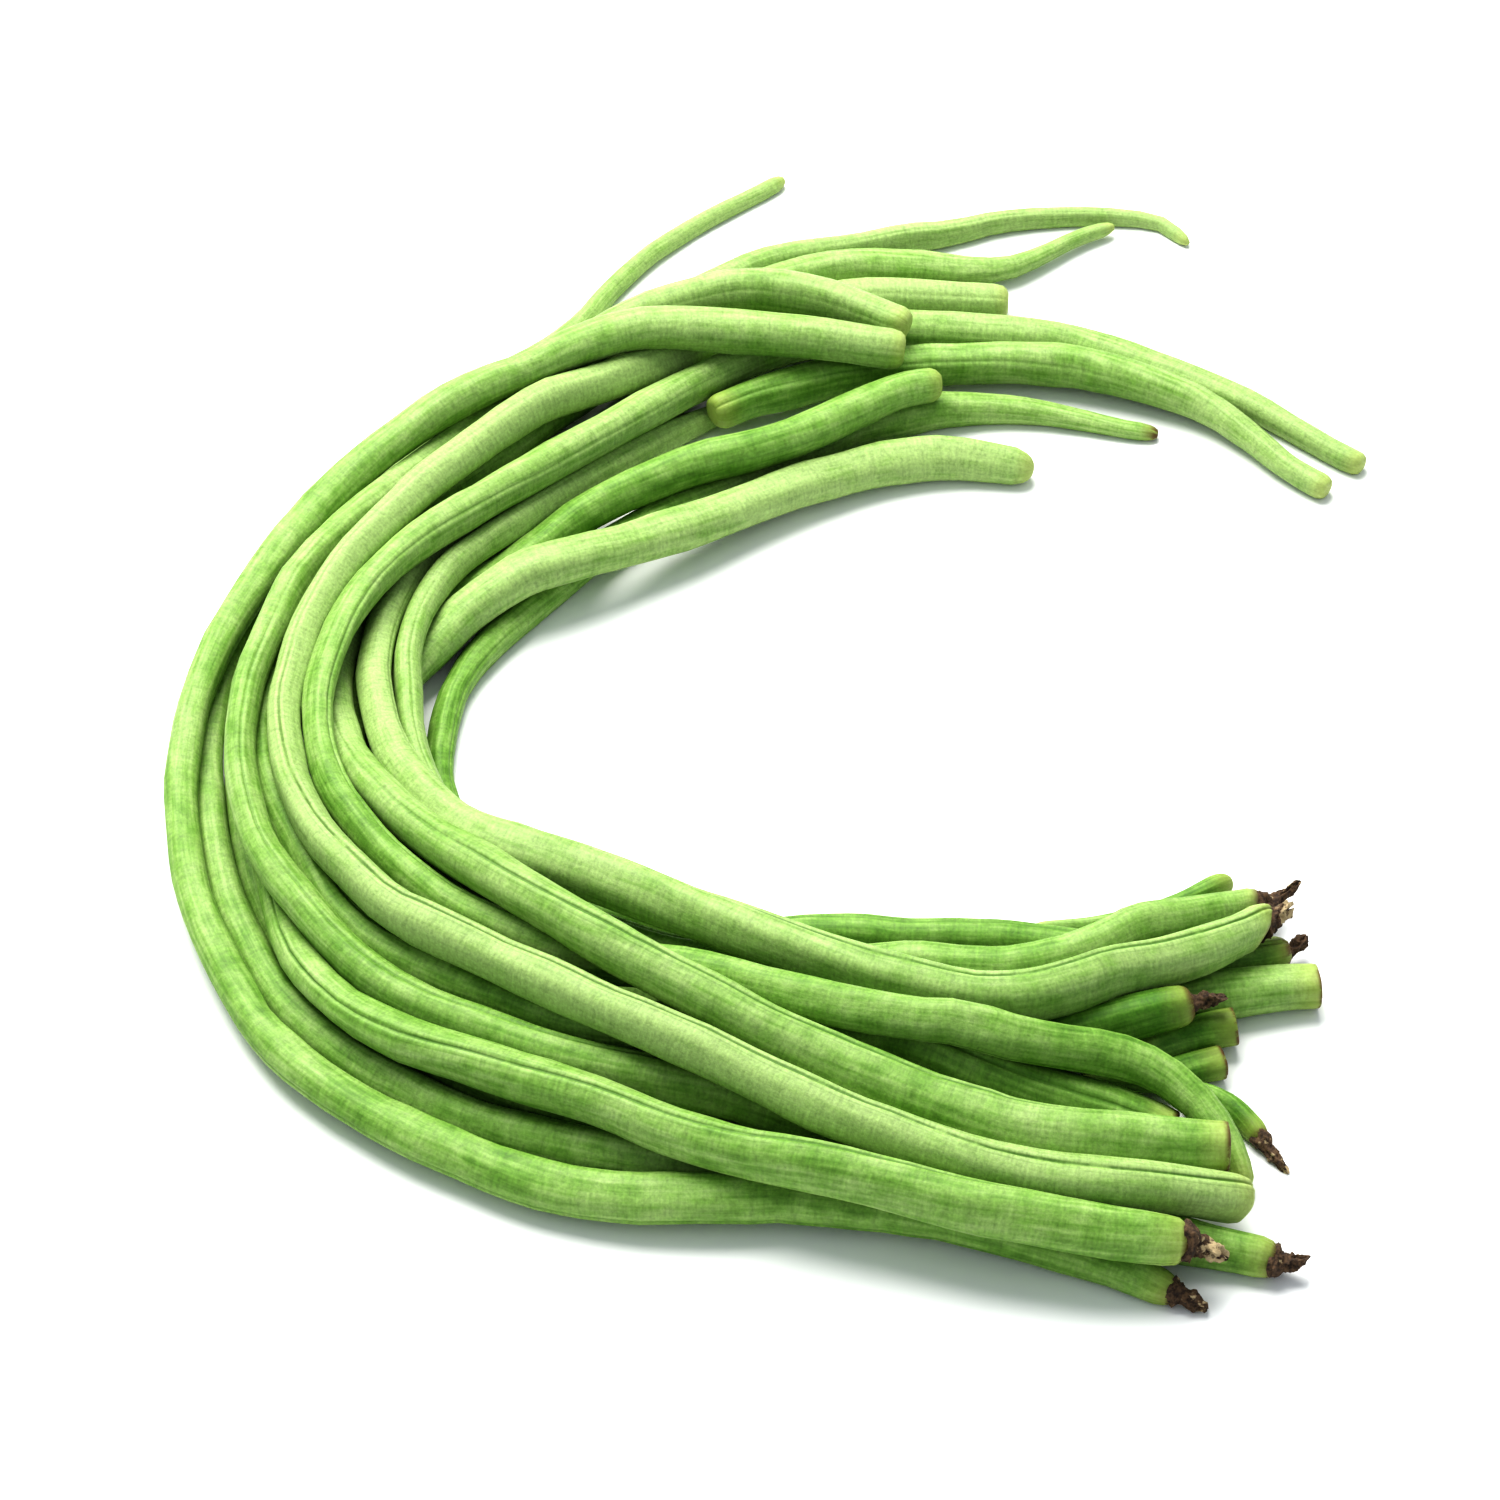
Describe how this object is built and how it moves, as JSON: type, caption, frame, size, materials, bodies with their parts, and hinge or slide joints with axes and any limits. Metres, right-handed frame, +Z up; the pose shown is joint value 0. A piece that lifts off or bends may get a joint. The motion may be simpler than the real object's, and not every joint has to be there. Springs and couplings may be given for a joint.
{
  "type": "yardlong bean bunch",
  "caption": "Loose bunch of fresh green yardlong bean pods, laid flat and bent into an open C, stem ends and tips at the same side.",
  "frame": {"origin": "middle of the bunch's box, on the surface it lies on", "axes": "+X from the bend of the C to its open side, +Y from the stem ends' arm to the tips' arm, +Z up"},
  "size_m": [0.2322, 0.3074, 0.028],
  "materials": {
    "pod_skin": "satin",
    "dry_calyx": "matte"
  },
  "bodies": {
    "root": {"pod_01": "pod_skin", "pod_02": "pod_skin", "pod_03": "pod_skin", "pod_04": "pod_skin", "pod_05": "pod_skin", "pod_06": "pod_skin", "pod_07": "pod_skin", "pod_08": "pod_skin", "pod_09": "pod_skin", "pod_10": "pod_skin", "pod_11": "pod_skin", "pod_12": "pod_skin", "pod_13": "pod_skin", "pod_14": "pod_skin", "pod_15": "pod_skin", "pod_16": "pod_skin", "pod_17": "pod_skin", "pod_18": "pod_skin", "pod_19": "pod_skin", "calyx_01": "dry_calyx", "calyx_02": "dry_calyx", "calyx_03": "dry_calyx", "calyx_10": "dry_calyx", "calyx_11": "dry_calyx", "calyx_12": "dry_calyx", "calyx_14": "dry_calyx", "calyx_19": "dry_calyx"}
  },
  "joints": []
}
